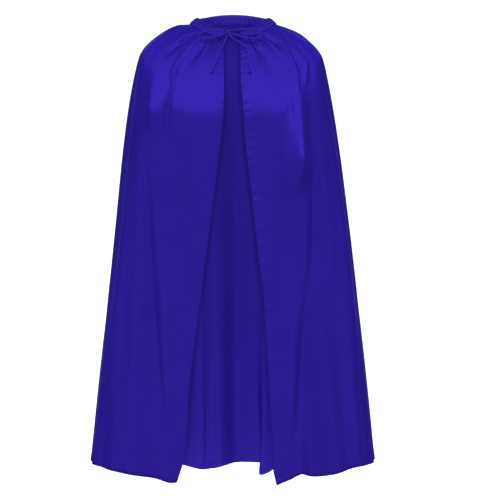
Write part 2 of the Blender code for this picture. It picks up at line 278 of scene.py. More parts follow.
# Soft fills: name, place, point aimed at, size in metres and power in watts.
FILLS = [
    ("front_fill", (0.04, -3.4, -0.45), (0.0, 0.0, -0.5), 0.25, 78.0),
    ("left_fill", (2.6, -1.2, -0.80), (0.0, 0.0, -0.8), 1.2, 24.0),
    ("right_fill", (-2.6, -1.2, -0.80), (0.0, 0.0, -0.8), 1.2, 32.0),
    ("back_fill", (-1.4, 3.2, 0.3), (0.0, 0.0, -0.5), 1.0, 45.0),
]

random = np.random.default_rng(7)


# ---------------------------------------------------------------- curves


def smooth_line(points, steps=24):
    """Points of a smooth Catmull-Rom curve through the given points."""
    points = [np.array(point, dtype=float) for point in points]
    points = [2 * points[0] - points[1]] + points + [2 * points[-1] - points[-2]]
    line = []
    for before, start, end, after in zip(points, points[1:], points[2:], points[3:]):
        for t in np.arange(steps) / steps:
            line.append(
                start
                + t * (end - before) / 2
                + t**2 * (before - 2.5 * start + 2 * end - 0.5 * after)
                + t**3 * (1.5 * (start - end) + 0.5 * (after - before))
            )
    line.append(points[-2])
    return np.array(line)


def line_length(line):
    return float(np.linalg.norm(np.diff(line, axis=0), axis=1).sum())


def distances_along(line):
    """How far along the line each of its points lies."""
    steps = np.linalg.norm(np.diff(line, axis=0), axis=1)
    return np.concatenate([[0.0], np.cumsum(steps)])


def columns_at(values, reached, places):
    """Values known at the distances reached, worked out at other places: one array for each column."""
    return [np.interp(places, reached, column) for column in values.T]


def walk(line, shares):
    """The coordinates of the points that lie at these shares of the line's length."""
    return columns_at(line, distances_along(line) / line_length(line), shares)


def smooth_step(values, start, end):
    """A smooth rise from 0 at the start to 1 at the end."""
    t = np.clip((values - start) / (end - start), 0.0, 1.0)
    return t * t * (3 - 2 * t)


# ---------------------------------------------------------------- the shape of the cloth


def around(degrees, values):
    """A value that changes smoothly from the front, over the side, to the back."""
    angle = np.radians(degrees)
    fore_aft = np.where(np.cos(angle) > 0, values["front"], values["back"])
    return values["side"] * np.sin(angle) ** 2 + fore_aft * np.cos(angle) ** 2


def casing_point(degrees, across, through):
    """Points of the casing band: across runs up the band, through runs outwards from its middle."""
    angle = np.radians(degrees)
    lean = np.radians(around(degrees, CASING_LEANS))
    outwards = through * np.cos(lean) - across * np.sin(lean)
    height = around(degrees, CASING_HEIGHTS) + across * np.cos(lean) + through * np.sin(lean)
    x = (NECK_HALF_WIDTH + outwards) * np.sin(angle)
    y = -(NECK_HALF_DEPTH + outwards) * np.cos(angle)
    return np.stack(np.broadcast_arrays(x, y, height), axis=-1)


def hang_line(degrees, hang):
    """The hang as one smooth line from the casing's lower edge down."""
    start = casing_point(degrees, -CASING_WIDTH / 2, 0.0)
    return smooth_line([(math.hypot(start[0], start[1]), start[2])] + hang)


HANG_LINES = {
    "front": hang_line(0.0, FRONT_HANG),
    "side": hang_line(90.0, SIDE_HANG),
    "back": hang_line(180.0, BACK_HANG),
}
GAP_CURVES = {1: smooth_line(GAP_LEFT), -1: smooth_line(GAP_RIGHT)}


def plain_hang(degrees, share):
    """The hang without folds, lofted between the front, side and back lines."""
    angle = np.radians(degrees)
    side_out, side_height = walk(HANG_LINES["side"], share)
    front_out, front_height = walk(HANG_LINES["front"], share)
    back_out, back_height = walk(HANG_LINES["back"], share)
    in_front = np.cos(angle) > 0
    out = np.where(in_front, front_out, back_out)
    height = np.where(in_front, front_height, back_height)
    x = side_out * np.sin(angle)
    y = -out * np.cos(angle)
    z = side_height * np.sin(angle) ** 2 + height * np.cos(angle) ** 2
    return np.stack([x, y, z], axis=-1)


def main_folds(degrees, share):
    """How far the main folds push the cloth out. The side seams stay straight."""
    in_front = np.cos(np.radians(degrees)) > 0
    depth = np.zeros(np.broadcast(degrees, share).shape)
    for centre, width, deep, growth in FRONT_FOLDS:
        depth += in_front * deep * share**growth * np.exp(-(((degrees - centre) / width) ** 2))
    for centre, width, deep, growth in BACK_FOLDS:
        depth += ~in_front * deep * share**growth * np.exp(-(((degrees - centre) / width) ** 4))
    return depth * (1 - np.sin(np.radians(degrees)) ** 12)


def hanging_cloth(degrees, share):
    """Points of the cloth with its main folds."""
    lap = sum(shift * np.exp(-(((degrees - centre) / width) ** 2)) for centre, width, shift in LAPS)
    point = plain_hang(degrees - lap * share**LAP_GROWTH, share)
    top = casing_point(degrees, TOP_IN_CASING - CASING_WIDTH / 2, 0.0)
    fit = np.clip(1 - share / TOP_FIT_SHARE, 0.0, 1.0) ** 2
    point = point + (top - plain_hang(degrees, 0.0 * share)) * fit[..., None]
    outwards = point * np.array([1.0, 1.0, 0.0])
    outwards /= np.linalg.norm(outwards, axis=-1, keepdims=True)
    point = point + outwards * main_folds(degrees, share)[..., None]
    shift = smooth_step(share, 0.03, 0.11) * (1 - smooth_step(share, 0.18, 0.60))
    point[..., 0] += SHOULDER_SHIFT * shift * np.sin(np.radians(degrees)) ** 2
    tilt = smooth_step(share, 0.0, 0.03) * (1 - smooth_step(share, 0.08, 0.16))
    point[..., 2] -= SHOULDER_TILT * tilt * np.sin(np.radians(degrees))
    for centre, width, rise in HEM_WAVES:
        point[..., 2] += rise * share**6 * np.exp(-(((degrees - centre) / width) ** 2))
    return point


def cloth_normal(degrees, share):
    """The outward direction of the folded cloth."""
    step = 0.004
    turn = 0.6
    along = hanging_cloth(degrees + turn, share) - hanging_cloth(degrees - turn, share)
    low = np.minimum(share + step, 1.0)
    high = np.maximum(share - step, 0.0)
    down = hanging_cloth(degrees, low) - hanging_cloth(degrees, high)
    normal = np.cross(down, along)
    return normal / np.linalg.norm(normal, axis=-1, keepdims=True)


def pleat_bounds(count):
    """Where one small pleat ends and the next starts, in degrees round the neck."""
    even = np.linspace(CASING_END, 360 - CASING_END, count + 1)
    shift = random.uniform(-0.32, 0.32, count + 1) * (even[1] - even[0])
    shift[0] = shift[-1] = 0.0
    return even + shift


FINE_BOUNDS = pleat_bounds(FINE_PLEATS)
FINE_HEIGHTS = random.uniform(*FINE_PLEAT_HEIGHT, FINE_PLEATS)
INNER_BOUNDS = pleat_bounds(FINE_PLEATS)
INNER_HEIGHTS = random.uniform(*FINE_PLEAT_HEIGHT, FINE_PLEATS)


def small_pleats(degrees, bounds, heights):
    """Round pleats side by side, with a sharp valley between each two."""
    which = np.clip(np.searchsorted(bounds, degrees, side="right") - 1, 0, len(heights) - 1)
    start, end = bounds[which], bounds[which + 1]
    x = np.clip(2 * (degrees - start) / (end - start) - 1, -1.0, 1.0)
    return heights[which] * ((1 - x * x) ** 0.6 - 0.75)


def scattered_pleats(count, heights, reaches, width):
    """Pleats at uneven places, as rows of CHEST_PLEATS."""
    places = np.linspace(CASING_END, 360 - CASING_END, count) + random.uniform(-3.0, 3.0, count)
    rows = []
    for place in places:
        reach = random.uniform(*reaches)
        drift = random.uniform(-3.0, 3.0)
        height = random.uniform(*heights)
        rows.append((place, place + drift, 0.0, reach * 0.4, reach, width * random.uniform(0.7, 1.3), height))
    return rows


MIDDLE_ROWS = scattered_pleats(MIDDLE_PLEATS, MIDDLE_PLEAT_HEIGHT, MIDDLE_PLEAT_REACH, 2.6)
LONG_ROWS = [
    row
    for row in scattered_pleats(2 * LONG_PLEATS, LONG_PLEAT_HEIGHT, LONG_PLEAT_REACH, 4.2)
    if 95 < row[0] < 265
]
RIPPLE_ROWS = [
    (random.integers(3, 26), random.uniform(-7.0, 7.0), random.uniform(0, 2 * math.pi))
    for _ in range(RIPPLES)
]


def long_pleats(degrees, distance, rows):
    """Pleats that rise to their fullest and die out down the cloth."""
    raised = np.zeros(np.broadcast(degrees, distance).shape)
    for first, last, start, fullest, end, width, height in rows:
        centre = first + (last - first) * np.clip((distance - start) / (end - start), 0.0, 1.0)
        rise = np.clip((distance - start) / (fullest - start), 0.0, 1.0) ** 1.4
        fall = 1 - smooth_step(distance, fullest, end)
        raised += height * rise * fall * np.exp(-(((degrees - centre) / width) ** 2))
    return raised


def ripples(degrees, distance):
    """Slow unevenness of the hanging satin."""
    angle = np.radians(degrees)
    total = sum(np.cos(turns * angle + lean * distance + phase) for turns, lean, phase in RIPPLE_ROWS)
    return RIPPLE_HEIGHT * total * smooth_step(distance, 0.05, 0.35)


def pleat_height(degrees, share):
    """How far all the pleats and ripples raise the cloth."""
    distance = share * HANG_LENGTH
    fine = small_pleats(degrees, FINE_BOUNDS, FINE_HEIGHTS) * np.exp(-((distance / FINE_PLEAT_FADE) ** 1.3))
    fine *= 0.35 + 0.65 * smooth_step(distance, 0.0, 0.008)
    rest = long_pleats(degrees, distance, CHEST_PLEATS + MIDDLE_ROWS + LONG_ROWS)
    return fine + rest + ripples(degrees, distance)


def puckers(distance, strength):
    """The small puckers that a row of stitches draws into the cloth, by the distance along the row."""
    along = distance / PUCKER_LENGTH * 2 * math.pi
    uneven = np.cos(along) + 0.6 * np.cos(0.63 * along + 1.0) + 0.5 * np.cos(1.37 * along + 2.0)
    return PUCKER_HEIGHT * uneven * strength


def stitched_puckers(degrees, share):
    """Puckers along the hem and along both front edges."""
    at_hem = smooth_step(share, 1 - 2.6 * HEM_TURN, 1 - 0.6 * HEM_TURN)
    raised = puckers(np.radians(degrees) * HEM_RADIUS, at_hem)
    half_width = walk(HANG_LINES["side"], share)[0]
    across = np.abs(np.sin(np.radians(degrees))) * half_width
    for side in SIDES.values():
        from_edge = across - np.interp(share, *GAP_CURVES[side].T)
        here = (np.sin(np.radians(degrees)) * side > 0) & (np.cos(np.radians(degrees)) > 0)
        edge_strength = here * EDGE_PUCKERS[side] * smooth_step(-from_edge, -0.024, -0.006)
        raised += puckers(share * HANG_LENGTH + 0.4 * side, edge_strength)
        raised -= here * EDGE_ROLL * np.clip(1 - from_edge / EDGE_ROLL_WIDTH, 0.0, 1.0) ** 2
    return raised


def cloth_point(degrees, share, inset=0.0):
    """Points of the finished cloth, or of a layer that lies inset behind it."""
    degrees, share, inset = np.broadcast_arrays(degrees % 360, share, inset)
    share_of_cloth = np.clip(share, 0.0, 1.0)
    raised = pleat_height(degrees, share_of_cloth) + stitched_puckers(degrees, share_of_cloth)
    normal = cloth_normal(degrees, share_of_cloth)
    return hanging_cloth(degrees, share_of_cloth) + normal * (raised - inset)[..., None]


def edge_degrees(side, share, margin=0.0):
    """The angle of a front edge, or of a line beside it."""
    half_gap = np.interp(share, *GAP_CURVES[side].T) + margin
    half_width = walk(HANG_LINES["side"], share)[0]
    return side * np.degrees(np.arcsin(half_gap / half_width))


# ---------------------------------------------------------------- meshes


def make_mesh(name, points, faces, materials):
    mesh = bpy.data.meshes.new(name)
    mesh.from_pydata(points.reshape(-1, 3).tolist(), [], faces)
    for material in materials:
        mesh.materials.append(material)
    mesh.shade_smooth()
    piece = bpy.data.objects.new(name, mesh)
    bpy.context.scene.collection.objects.link(piece)
    return piece


def grid_faces(rows, columns, flip=False, ring=False):
    """Faces of a grid of points. With ring, the last column joins the first."""
    faces = []
    for row in range(rows - 1):
        for column in range(columns if ring else columns - 1):
            here = row * columns + column
            beside = row * columns + (column + 1) % columns
            face = (here, here + columns, beside + columns, beside)
            faces.append(face[::-1] if flip else face)
    return faces


def set_uv(piece, columns_at, rows_at):
    """Texture coordinates in metres of cloth, from each point's place across and down."""
    across, down = np.meshgrid(columns_at, rows_at)
    places = np.stack([across.ravel(), down.ravel()], axis=-1).astype(np.float32)
    layer = piece.data.uv_layers.new(name="cloth")
    corners = np.empty(len(piece.data.loops), dtype=np.int32)
    piece.data.loops.foreach_get("vertex_index", corners)
    layer.data.foreach_set("uv", places[corners].ravel())


def add_thickness(piece):
    """Give the cloth its thickness, with the inside's tone behind: the reverse, lightened with painted light.
    """
    solid = piece.modifiers.new("thickness", "SOLIDIFY")
    solid.thickness = CLOTH_THICKNESS
    solid.offset = -1.0
    solid.material_offset = 1
    solid.material_offset_rim = 0


def cloth_rows():
    """Shares and insets of the rows: down the cloth, round the hem's fold and up behind it."""
    down = (np.arange(HANG_ROWS + 1) / HANG_ROWS) ** ROW_CROWDING
    shares = np.concatenate([down, 1 - HEM_TURN * TURN_STEPS])
    insets = np.concatenate([np.zeros(len(down)), TURN_INSETS])
    return shares, insets


def down_the_cloth(shares):
    """Distances down the cloth for its weave. Those of the turned rows start 1 m past the hem."""
    turned = len(TURN_STEPS)
    return np.concatenate([shares[:-turned] * HANG_LENGTH, HANG_LENGTH + 2 - shares[-turned:]])


def turned_faces(piece, shape, edge_columns):
    """Give the strips that are turned in at the hem and the edge the tone of the inside, lightened with
    painted light.
    """
    rows, columns = shape[0] - 1, shape[1] - 1
    turned = np.zeros((rows, columns), dtype=np.int32)
    turned[rows + 1 - len(TURN_STEPS) :, :] = 1
    turned[:, :edge_columns] = 1
    piece.data.polygons.foreach_set("material_index", turned.ravel())


def front_cloth(word, side):
    """A whole front, from the casing to the hem, with its front edge and hem turned in."""
    shares, row_insets = cloth_rows()
    edge = edge_degrees(side, shares)[:, None]
    strip = edge_degrees(side, shares, EDGE_TURN)[:, None] - edge
    spread = (np.arange(FRONT_COLUMNS + 1) / FRONT_COLUMNS)[None, :]
    body = edge + (side * 90.0 - edge) * spread
    turned = edge + strip * TURN_STEPS[None, ::-1]
    degrees = np.concatenate([turned, body], axis=1)
    column_insets = np.concatenate([TURN_INSETS[::-1], np.zeros(FRONT_COLUMNS + 1)])
    insets = row_insets[:, None] + column_insets[None, :]
    points = cloth_point(degrees, shares[:, None], insets)
    faces = grid_faces(*degrees.shape, flip=side < 0)
    piece = make_mesh(word + "_front_cloth", points, faces, [SATIN, SATIN_REVERSE_PAINTED_LIGHT, SATIN_REVERSE_PAINTED_LIGHT])
    turned_faces(piece, degrees.shape, len(TURN_STEPS) - 1)
    across = np.concatenate([-EDGE_TURN * TURN_STEPS[::-1], FRONT_CLOTH_WIDTH * spread[0]])
    set_uv(piece, across, down_the_cloth(shares))
    return piece


def back_cloth():
    """The whole back, from one side seam to the other, with its hem turned in."""
    shares, row_insets = cloth_rows()
    degrees = np.linspace(90.0, 270.0, BACK_COLUMNS + 1)[None, :]
    points = cloth_point(degrees, shares[:, None], row_insets[:, None])
    faces = grid_faces(len(shares), BACK_COLUMNS + 1)
    piece = make_mesh("back_cloth", points, faces, [SATIN, SATIN_REVERSE_PAINTED_LIGHT, SATIN_REVERSE_PAINTED_LIGHT])
    turned_faces(piece, (len(shares), BACK_COLUMNS + 1), 0)
    across = BACK_CLOTH_WIDTH * np.arange(BACK_COLUMNS + 1) / BACK_COLUMNS
    set_uv(piece, across, down_the_cloth(shares))
    return piece


def seam_allowance(word, side):
    """The raw edges of a side seam, pressed open inside. At the hem they lie over its turned layer."""
    shares = np.linspace(*SEAM_REACH, SEAM_ROWS)[:, None]
    degrees = side * np.array([SEAM_DEGREES])
    insets = np.array([SEAM_INSETS]) + TURN_INSET * smooth_step(shares, 0.978, 0.988)
    points = cloth_point(degrees, shares, insets)
    faces = grid_faces(*np.broadcast(degrees, shares).shape, flip=side < 0)
    piece = make_mesh(word + "_seam_allowance", points, faces, [SATIN_REVERSE_PAINTED_LIGHT, SATIN_REVERSE_PAINTED_LIGHT])
    set_uv(piece, np.linspace(0, SEAM_WIDTH, len(SEAM_DEGREES)), shares.ravel() * HANG_LENGTH)
    add_thickness(piece)
    return piece


def casing_cloth():
    """The ruched casing, a flat tube with a mouth at each side of the front opening."""
    turns = np.arange(CASING_SECTION) / CASING_SECTION * 2 * math.pi
    across = np.sign(np.cos(turns)) * np.abs(np.cos(turns)) ** 0.75 * CASING_WIDTH / 2
    through = np.sign(np.sin(turns)) * np.abs(np.sin(turns)) ** 0.8 * CASING_THICKNESS / 2
    degrees = np.linspace(CASING_END, 360 - CASING_END, CASING_COLUMNS + 1)[:, None]
    outer = small_pleats(degrees, FINE_BOUNDS, FINE_HEIGHTS)
    inner = small_pleats(degrees, INNER_BOUNDS, INNER_HEIGHTS)
    is_outer = smooth_step(through, -0.002, 0.002)[None, :]
    pleats = outer * is_outer + inner * (1 - is_outer)
    edge_swell = 1 + 0.10 * pleats / FINE_PLEAT_HEIGHT[1]
    depth = np.abs(np.sin(turns)) ** 0.5
    points = casing_point(degrees, across * edge_swell, through + np.sign(through) * pleats * depth)
    faces = grid_faces(CASING_COLUMNS + 1, CASING_SECTION, flip=True, ring=True)
    piece = make_mesh("ruched_casing", points, faces, [SATIN, SATIN_REVERSE_PAINTED_LIGHT])
    inner_faces = np.tile(np.arange(CASING_SECTION) >= CASING_SECTION // 2, CASING_COLUMNS)
    piece.data.polygons.foreach_set("material_index", inner_faces.astype(np.int32))
    set_uv(piece, np.linspace(0, CASING_GIRTH, CASING_SECTION), degrees.ravel() * CASING_CLOTH_PER_DEGREE)
    add_thickness(piece)
    return piece


def stitch_row(name, starts, ends, outwards):
    """Thread stitches: each a small rounded bar between two points on the cloth."""
    sides = 6
    rings = [(0.0, 0.25), (0.12, 0.9), (0.5, 1.1), (0.88, 0.9), (1.0, 0.25)]
    along = ends - starts
    length = np.linalg.norm(along, axis=-1, keepdims=True)
    along = along / length
    beside = np.cross(along, outwards)
    beside /= np.linalg.norm(beside, axis=-1, keepdims=True)
    above = np.cross(beside, along)
    points = []
    for place, fullness in rings:
        middle = starts + (ends - starts) * place + outwards * STITCH_RADIUS * (2.2 * fullness - 1.4)
        for turn in np.arange(sides) / sides * 2 * math.pi:
            ray = beside * math.cos(turn) + above * math.sin(turn)
            points.append(middle + ray * STITCH_RADIUS * fullness)
    points = np.stack(points, axis=1)
    per_stitch = len(rings) * sides
    faces = []
    for stitch in range(len(starts)):
        base = stitch * per_stitch
        for face in grid_faces(len(rings), sides, ring=True):
            faces.append(tuple(base + corner for corner in face))
        faces.append(tuple(base + corner for corner in range(sides)))
        faces.append(tuple(base + per_stitch - 1 - corner for corner in range(sides)))
    return make_mesh(name, points, faces, [THREAD])


def stitches_along(name, degrees, share):
    """A row of stitches along a line on the cloth, given densely as angles and shares."""
    reached = distances_along(cloth_point(degrees, share))
    begin = np.arange(STITCH_GAP, reached[-1] - STITCH - STITCH_GAP, STITCH + STITCH_GAP)
    ends = []
    for places in (begin, begin + STITCH):
        at_degrees = np.interp(places, reached, degrees)
        at_share = np.interp(places, reached, share)
        ends.append(cloth_point(at_degrees, at_share))
    middle = begin + STITCH / 2
    outwards = cloth_normal(np.interp(middle, reached, degrees) % 360, np.interp(middle, reached, share))
    return stitch_row(name, ends[0], ends[1], outwards)


def tube(name, line, radius, closed=False):
    """A round cord along a line of points, with the low relief of its braid."""
    count = max(8, round(line_length(line) / CORD_STEP))
    if closed:
        shares = np.arange(count) / count
    else:
        shares = np.linspace(0.0, 1.0, count + 1)
    centre = np.stack(walk(line, shares), axis=-1)
    if closed:
        ahead = np.roll(centre, -1, axis=0) - np.roll(centre, 1, axis=0)
    else:
        ahead = np.gradient(centre, axis=0)
    ahead /= np.linalg.norm(ahead, axis=1, keepdims=True)
    side = np.cross(ahead[0], [0.0, 0.3, 1.0])
    frames = []
    for direction in ahead:
        side = side - direction * (side @ direction)
        side = side / np.linalg.norm(side)
        frames.append((side, np.cross(direction, side)))
    turns = np.arange(CORD_SIDES) / CORD_SIDES * 2 * math.pi
    distance = shares * line_length(line)
    points = []
    for place, (first, second), far in zip(centre, frames, distance):
        wind = 2 * math.pi * far / BRAID_PITCH
        swell = 1 - BRAID_RELIEF * (1 - np.cos(2 * turns - wind) * np.cos(2 * turns + wind))
        cap = 1.0 if closed else min(1.0, 0.45 + min(far, distance[-1] - far) / radius)
        ring = np.cos(turns)[:, None] * first + np.sin(turns)[:, None] * second
        points.append(place + ring * (radius * cap * swell)[:, None])
    points = np.array(points)
    rows = len(points)
    faces = grid_faces(rows, CORD_SIDES, flip=True, ring=True)
    if closed:
        last = (rows - 1) * CORD_SIDES
        for corner in range(CORD_SIDES):
            beside = (corner + 1) % CORD_SIDES
            faces.append((beside, beside + last, corner + last, corner)[::-1])
    else:
        faces.append(tuple(range(CORD_SIDES)))
        faces.append(tuple(rows * CORD_SIDES - 1 - corner for corner in range(CORD_SIDES)))
    piece = make_mesh(name, points, faces, [CORD_SATIN])
    set_uv(piece, turns * radius, distance)
    return piece


# ---------------------------------------------------------------- materials


def new_material(name, colour, roughness, metallic=0.0):
    """A plain material, with its nodes, links and shader."""
    material = bpy.data.materials.new(name)
    material.use_nodes = True
    shader = material.node_tree.nodes["Principled BSDF"]
    shader.inputs["Base Color"].default_value = (*colour, 1.0)
    shader.inputs["Roughness"].default_value = roughness
    shader.inputs["Metallic"].default_value = metallic
    return material, material.node_tree.nodes, material.node_tree.links, shader


def new_node(nodes, kind, **values):
    """A node with these values on its sockets."""
    node = nodes.new("ShaderNode" + kind)
    for socket, value in values.items():
        node.inputs[socket.replace("_", " ")].default_value = value
    return node


def cloth_places(nodes):
    """The texture coordinates, in metres of cloth."""
    place = nodes.new("ShaderNodeUVMap")
    place.uv_map = "cloth"
    return place.outputs["UV"]


def satin_gloss(shader, sheen):
    """The blue sheen of satin threads."""
    shader.inputs["IOR"].default_value = 1.05
    shader.inputs["Specular Tint"].default_value = (0.30, 0.20, 0.85, 1.0)
    shader.inputs["Sheen Weight"].default_value = sheen
    shader.inputs["Sheen Tint"].default_value = (0.10, 0.07, 0.85, 1.0)


def mixed_tone(nodes, links, shader, share, shade, colour):
    """Colour the shader from the shade, where the share is 0, to the full colour."""
    tone = nodes.new("ShaderNodeMix")
    tone.data_type = "RGBA"
    tone.inputs["A"].default_value = (*shade, 1.0)
    tone.inputs["B"].default_value = (*colour, 1.0)
    links.new(share, tone.inputs["Factor"])
    links.new(tone.outputs["Result"], shader.inputs["Base Color"])


def add_bump(nodes, links, height, strength, distance):
    bump = new_node(nodes, "Bump", Strength=strength, Distance=distance)
    links.new(height, bump.inputs["Height"])
    return bump


def satin(name, colour, shade, roughness, metallic, sheen):
    """Satin: long floating threads, so a soft sheen, faint lines of weave and uneven gloss."""
    material, nodes, links, shader = new_material(name, colour, roughness, metallic)
    satin_gloss(shader, sheen)
    shader.inputs["Sheen Roughness"].default_value = 0.4
    place = cloth_places(nodes)

    cloudy = new_node(nodes, "TexNoise", Scale=9.0, Detail=3.0)
    links.new(place, cloudy.inputs["Vector"])
    mixed_tone(nodes, links, shader, cloudy.outputs["Fac"], shade, colour)
    gloss = new_node(nodes, "MapRange", To_Min=roughness - 0.05, To_Max=roughness + 0.06)
    links.new(cloudy.outputs["Fac"], gloss.inputs["Value"])
    links.new(gloss.outputs["Result"], shader.inputs["Roughness"])

    threads = new_node(nodes, "TexWave", Scale=1 / (WEAVE_PITCH * 20), Distortion=0.6, Detail=1.0)
    threads.wave_type = "BANDS"
    threads.bands_direction = "X"
    links.new(place, threads.inputs["Vector"])
    stretch = new_node(nodes, "Mapping", Scale=(260.0, 28.0, 1.0))
    links.new(place, stretch.inputs["Vector"])
    slubs = new_node(nodes, "TexNoise", Scale=1.0, Detail=2.0)
    links.new(stretch.outputs["Vector"], slubs.inputs["Vector"])
    weave_bump = add_bump(nodes, links, threads.outputs["Fac"], 0.35, 0.00006)
    slub_bump = add_bump(nodes, links, slubs.outputs["Fac"], 0.3, 0.00025)
    links.new(weave_bump.outputs["Normal"], slub_bump.inputs["Normal"])
    links.new(slub_bump.outputs["Normal"], shader.inputs["Normal"])
    return material


def braided(name, colour, shade):
    """Braided satin cord: crossing strands, with painted shade that darkens the valleys between them."""
    material, nodes, links, shader = new_material(name, colour, 0.42, 0.35)
    satin_gloss(shader, 0.08)
    place = cloth_places(nodes)
    cross = nodes.new("ShaderNodeMath")
    cross.operation = "MAXIMUM"
    for socket, turn in enumerate((35.0, -35.0)):
        lean = new_node(nodes, "Mapping", Rotation=(0.0, 0.0, math.radians(turn)))
        links.new(place, lean.inputs["Vector"])
        strands = new_node(nodes, "TexWave", Scale=55.0)
        strands.bands_direction = "X"
        links.new(lean.outputs["Vector"], strands.inputs["Vector"])
        links.new(strands.outputs["Fac"], cross.inputs[socket])
    # The darker colour in the valleys between the strands is painted shade.
    mixed_tone(nodes, links, shader, cross.outputs["Value"], shade, colour)
    bump = add_bump(nodes, links, cross.outputs["Value"], 0.6, 0.0003)
    links.new(bump.outputs["Normal"], shader.inputs["Normal"])
    return material


def thread():
    """Sewing thread: dull, with the fine unevenness of its ply."""
    material, nodes, links, shader = new_material("sewing_thread", (0.020, 0.010, 0.220), 0.6)
    shader.inputs["Specular IOR Level"].default_value = 0.2
    ply = new_node(nodes, "TexNoise", Scale=2500.0)
    bump = add_bump(nodes, links, ply.outputs["Fac"], 1.0, 0.0001)
    links.new(bump.outputs["Normal"], shader.inputs["Normal"])
    return material


SATIN = satin("cape_satin_face", (0.0235, 0.0115, 0.270), (0.0205, 0.0100, 0.240), 0.27, 0.50, 0.08)
# The reverse's duller gloss is its own. Its base colours are lighter than the face's as painted light,
# standing in for light that shines through the thin satin onto the inside.
SATIN_REVERSE_PAINTED_LIGHT = satin("cape_satin_reverse_painted_light", (0.0370, 0.0190, 0.400), (0.0340, 0.0175, 0.370), 0.45, 0.25, 0.08)
# The cord's second, darker colour is painted shade for the valleys between the braid's strands.
CORD_SATIN = braided("drawstring_satin_painted_shade", (0.031, 0.016, 0.340), (0.016, 0.008, 0.180))
THREAD = thread()


# ---------------------------------------------------------------- camera, light and stage


def add_camera():
    """The camera in front, level and at mid-height of the cape."""
    camera = bpy.data.cameras.new("camera")
    camera.lens = LENS
    camera.sensor_width = 36.0
    holder = bpy.data.objects.new("camera", camera)
    holder.location = CAMERA_PLACE
    holder.rotation_euler = (math.radians(90), 0.0, 0.0)
    bpy.context.scene.collection.objects.link(holder)
    bpy.context.scene.camera = holder


def add_fill(name, place, aim, size, power):
    """A soft light that leaves no gloss of its own."""
    lamp = bpy.data.lights.new(name, "AREA")
    lamp.shape = "SQUARE"
    lamp.size = size
    lamp.energy = power
    holder = bpy.data.objects.new(name, lamp)
    holder.location = place
    direction = Vector(aim) - Vector(place)
    holder.rotation_euler = direction.to_track_quat("-Z", "Y").to_euler()
    holder.visible_glossy = False
    bpy.context.scene.collection.objects.link(holder)


def add_dome():
    """Studio light all round: a bright tent overhead, whose lower rim ends the gloss on the chest."""
    world = bpy.data.worlds.new("studio")
    world.use_nodes = True
    nodes, links = world.node_tree.nodes, world.node_tree.links
    direction = nodes.new("ShaderNodeTexCoord")
    split = nodes.new("ShaderNodeSeparateXYZ")
    links.new(direction.outputs["Generated"], split.inputs["Vector"])
    tent = nodes.new("ShaderNodeValToRGB")
    tent.color_ramp.interpolation = "EASE"
    while len(tent.color_ramp.elements) < len(TENT):
        tent.color_ramp.elements.new(0.5)
    for stop, (elevation, light) in zip(tent.color_ramp.elements, TENT):
        stop.position = math.sin(math.radians(elevation))
        stop.color = (light, light, light, 1.0)
    links.new(split.outputs["Z"], tent.inputs["Fac"])
    ahead = nodes.new("ShaderNodeMapRange")
    ahead.interpolation_type = "SMOOTHSTEP"
    ahead.inputs["From Min"].default_value = -0.35
    ahead.inputs["From Max"].default_value = 0.25
    ahead.inputs["To Min"].default_value = 1.0
    ahead.inputs["To Max"].default_value = BACK_LIGHT
    links.new(split.outputs["Y"], ahead.inputs["Value"])
    strength = nodes.new("ShaderNodeMath")
    strength.operation = "MULTIPLY"
    links.new(tent.outputs["Color"], strength.inputs[0])
    links.new(ahead.outputs["Result"], strength.inputs[1])
    nodes["Background"].inputs["Color"].default_value = (1.0, 1.0, 1.0, 1.0)
    links.new(strength.outputs["Value"], nodes["Background"].inputs["Strength"])
    bpy.context.scene.world = world


def add_stage():
    """A white floor that sweeps up into a white wall all round, and soft studio light."""
    profile = [(0.0, 0.0), (STAGE_RADIUS, 0.0)]
    for turn in np.linspace(0.1, math.pi / 2, 14):
        profile.append((STAGE_RADIUS + STAGE_BEND * math.sin(turn), STAGE_BEND * (1 - math.cos(turn))))
    profile.append((STAGE_RADIUS + STAGE_BEND, STAGE_WALL))
    turns = np.arange(STAGE_SIDES) / STAGE_SIDES * 2 * math.pi
    points = np.array(
        [
            (radius * math.cos(turn), radius * math.sin(turn), FLOOR_HEIGHT + height)
            for radius, height in profile
            for turn in turns
        ]
    )
    material, _, _, shader = new_material("white_sweep", (0.80, 0.80, 0.80), 0.9)
    shader.inputs["Emission Color"].default_value = (1.0, 1.0, 1.0, 1.0)
    shader.inputs["Emission Strength"].default_value = FLOOR_GLOW
    sweep = make_mesh("studio_sweep", points, grid_faces(len(profile), STAGE_SIDES, ring=True), [material])
    sweep.visible_glossy = False
    sweep.visible_diffuse = False
    sweep.visible_shadow = False
    bpy.context.scene.view_settings.view_transform = "Standard"
    add_dome()
    for fill in FILLS:
        add_fill(*fill)


# ---------------------------------------------------------------- the cape


def bends_with(piece):
    """Bake the piece's placement into its points."""
    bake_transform(piece)


def dress_front(word, side):
    """A front in one piece, with its rows of stitches."""
    cloth = front_cloth(word, side)
    add_thickness(cloth)
    nodes = ["shoulder_panel", "front_panel", "front_hem", "upper_edge_hem", "lower_edge_hem"]
    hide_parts(*[f"{word}_{node}" for node in nodes])
    hem_share = np.full(FRONT_HEM_SAMPLES, 1 - HEM_TURN * STITCH_PLACE)
    hem_start = float(edge_degrees(side, hem_share[0], EDGE_TURN * STITCH_PLACE))
    hem_line = np.linspace(hem_start, side * 89.7, FRONT_HEM_SAMPLES) % 360
    edge_share = np.linspace(0.004, 1 - HEM_TURN * STITCH_PLACE, EDGE_SAMPLES)
    edge_line = edge_degrees(side, edge_share, EDGE_TURN * STITCH_PLACE) % 360
    rows = [
        stitches_along(word + "_hem_stitches", hem_line, hem_share),
        stitches_along(word + "_edge_stitches", edge_line, edge_share),
    ]
    for piece in [cloth] + rows:
        bends_with(piece)


